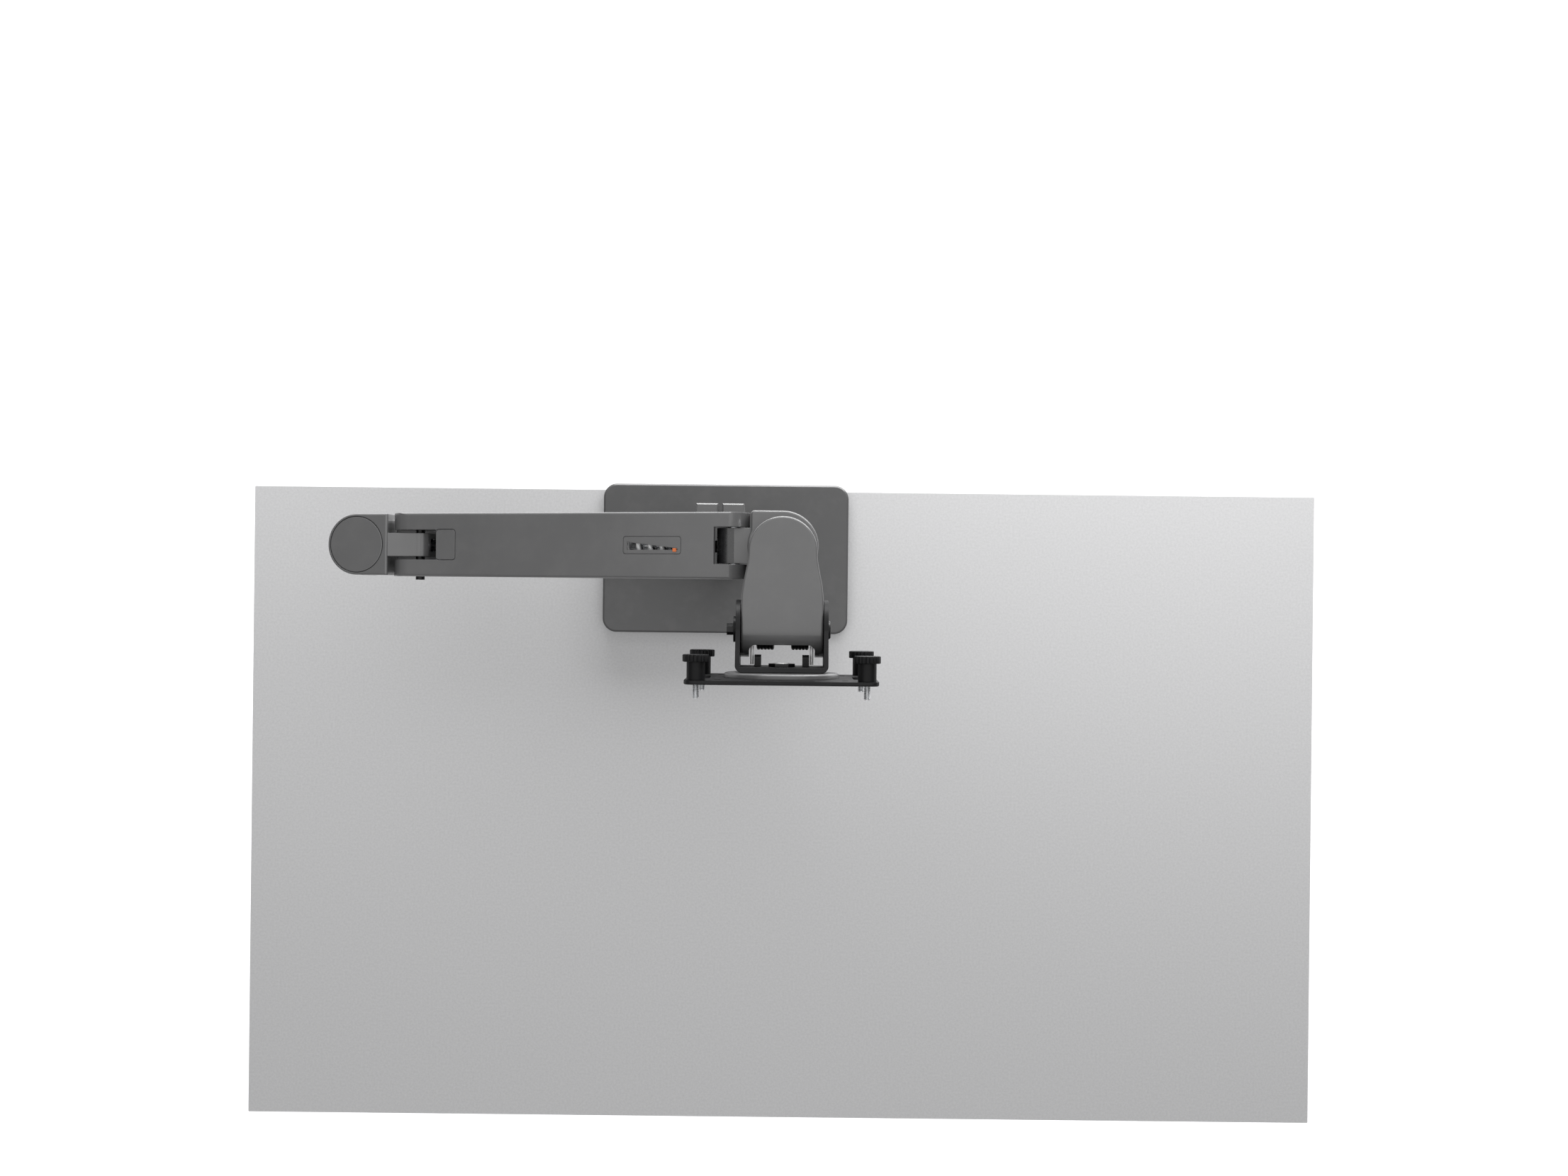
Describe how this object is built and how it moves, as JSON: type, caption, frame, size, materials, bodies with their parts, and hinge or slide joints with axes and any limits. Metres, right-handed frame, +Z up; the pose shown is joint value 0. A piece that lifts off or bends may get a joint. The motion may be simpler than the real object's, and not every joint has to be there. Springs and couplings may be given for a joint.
{
  "type": "monitor arm",
  "caption": "Desk-clamp monitor arm with a folding swivel arm, a spring-balanced lift with a tension gauge, and a panning, tilting, rotating VESA head.",
  "frame": {"origin": "centre of the base's underside, where it rests on the desk top", "axes": "+Z up, +Y to the rear of the desk, +X to the user's right; at rest the lower arm points to -X and the screen side of the VESA plate faces -Y"},
  "size_m": [0.3599, 0.1427, 0.4519],
  "materials": {
    "grey_casting": "satin grey paint on die-cast aluminium",
    "grey_cover": "satin grey moulded cover",
    "grey_plate": "satin grey powder coat on steel",
    "black_steel": "satin black powder coat on steel",
    "black_hardware": "black oxide steel",
    "black_plastic": "moulded black nylon",
    "rubber": "matt rubber",
    "orange_plastic": "moulded orange marker",
    "bronze": "sintered bronze",
    "bright_steel": "zinc-plated steel"
  },
  "bodies": {
    "base": {"base_plate": "grey_plate", "desk_pad": "rubber", "column": "grey_casting", "column_bolt": "bright_steel", "column_nut": "bright_steel", "column_thrust_washer": "bronze", "clamp_bracket": "black_steel", "lower_jaw": "black_steel", "bracket_screws": "bright_steel", "jaw_screws": "black_hardware", "rear_cable_clip": "grey_casting"},
    "clamp_pad": {"clamp_pad": "black_steel", "clamp_pad_rubber": "rubber"},
    "clamp_screw": {"clamp_screw": "bright_steel", "clamp_knob": "black_plastic"},
    "lower_arm": {"lower_arm_beam": "grey_casting", "lower_cable_cover": "black_plastic", "column_bushes": "black_plastic", "hub_cap": "grey_casting", "elbow_shaft": "bright_steel", "elbow_nut": "bright_steel", "elbow_washer": "black_plastic"},
    "elbow": {"elbow_block": "grey_casting", "elbow_cap": "grey_casting", "elbow_bush": "black_plastic", "elbow_link_pins": "bright_steel"},
    "upper_arm": {"upper_arm_shell": "grey_casting", "slot_cover": "grey_casting", "gauge_plate": "grey_casting", "rear_pin": "black_hardware", "front_pin": "bright_steel", "screw_bracket": "bright_steel", "balance_spring": "bright_steel"},
    "levelling_bar": {"tie_bar": "bright_steel"},
    "push_rod": {"push_rod": "bright_steel", "rod_collar": "bright_steel"},
    "tension_nut": {"tension_nut": "bright_steel", "tension_pointer": "orange_plastic"},
    "tension_screw": {"tension_screw": "bright_steel"},
    "front_block": {"front_block": "grey_casting", "pan_bush": "black_plastic", "tie_pin_front": "bright_steel"},
    "head": {"head_yoke": "black_steel", "head_cover": "grey_cover", "pan_shaft": "bright_steel", "pan_washer": "bright_steel", "pan_nut": "bright_steel", "torsion_springs": "black_hardware", "spring_legs": "bright_steel", "spring_sleeves": "black_plastic"},
    "tilt_bracket": {"u_bracket": "black_steel", "tilt_bolt": "black_hardware", "tilt_washer": "black_steel", "tilt_nut": "black_hardware", "spring_stops": "black_hardware"},
    "vesa": {"vesa_disc": "grey_casting", "vesa_plate": "black_steel", "pivot_bolt": "bright_steel", "pivot_nut": "black_hardware", "thumbscrews": "black_plastic"}
  },
  "joints": [
    {"name": "clamp_slide", "type": "slide", "parent": "base", "child": "clamp_pad", "axis": [0, 0, 1], "range_m": [-0.033, 0.015]},
    {"name": "clamp_turn", "type": "hinge", "parent": "clamp_pad", "child": "clamp_screw", "pos_m": [0, 0.018, -0.06], "axis": [0, 0, 1], "range_deg": [-3000, 1400]},
    {"name": "base_swivel", "type": "hinge", "parent": "base", "child": "lower_arm", "pos_m": [0, 0.005, 0.1], "axis": [0, 0, 1], "range_deg": [-90, 90]},
    {"name": "elbow_swivel", "type": "hinge", "parent": "lower_arm", "child": "elbow", "pos_m": [-0.24, 0.005, 0.13], "axis": [0, 0, 1], "range_deg": [-170, 170]},
    {"name": "lift", "type": "hinge", "parent": "elbow", "child": "upper_arm", "pos_m": [-0.1984, 0.005, 0.15], "axis": [0, -1, 0], "range_deg": [-18, 20], "deforming": ["balance_spring"]},
    {"name": "levelling_swing", "type": "hinge", "parent": "elbow", "child": "levelling_bar", "pos_m": [-0.1924, 0.005, 0.133], "axis": [0, -1, 0], "range_deg": [-23, 21]},
    {"name": "push_rod_swing", "type": "hinge", "parent": "elbow", "child": "push_rod", "pos_m": [-0.1984, 0.005, 0.141], "axis": [0, -1, 0], "range_deg": [-23, 21]},
    {"name": "front_level", "type": "hinge", "parent": "upper_arm", "child": "front_block", "pos_m": [0.0113, 0.005, 0.235], "axis": [0, -1, 0], "range_deg": [-21, 23]},
    {"name": "tension_slide", "type": "slide", "parent": "upper_arm", "child": "tension_nut", "axis": [0.9268, 0, 0.3757], "range_m": [-0.031, 0], "deforming": ["balance_spring"]},
    {"name": "tension_turn", "type": "hinge", "parent": "upper_arm", "child": "tension_screw", "pos_m": [-0.01418, 0.005, 0.22791], "axis": [0.9268, 0, 0.3757], "range_deg": [-5600, 10]},
    {"name": "head_pan", "type": "hinge", "parent": "front_block", "child": "head", "pos_m": [0.0418, 0.005, 0.23], "axis": [0, 0, 1], "range_deg": [-2.5, 180]},
    {"name": "head_tilt", "type": "hinge", "parent": "head", "child": "tilt_bracket", "pos_m": [0.0418, -0.0462, 0.262], "axis": [-1, 0, 0], "range_deg": [-20, 70]},
    {"name": "vesa_rotate", "type": "hinge", "parent": "tilt_bracket", "child": "vesa", "pos_m": [0.0418, -0.072, 0.274], "axis": [0, -1, 0], "range_deg": [-90, 90]}
  ],
  "couplings": [
    {"joint": "clamp_turn", "follows": "clamp_slide", "rad_per_m": 1570.8},
    {"joint": "levelling_swing", "follows": "lift", "ratio": 1},
    {"joint": "push_rod_swing", "follows": "lift", "ratio": 0.982},
    {"joint": "front_level", "follows": "lift", "ratio": -1},
    {"joint": "tension_turn", "follows": "tension_slide", "rad_per_m": 3141.6}
  ]
}
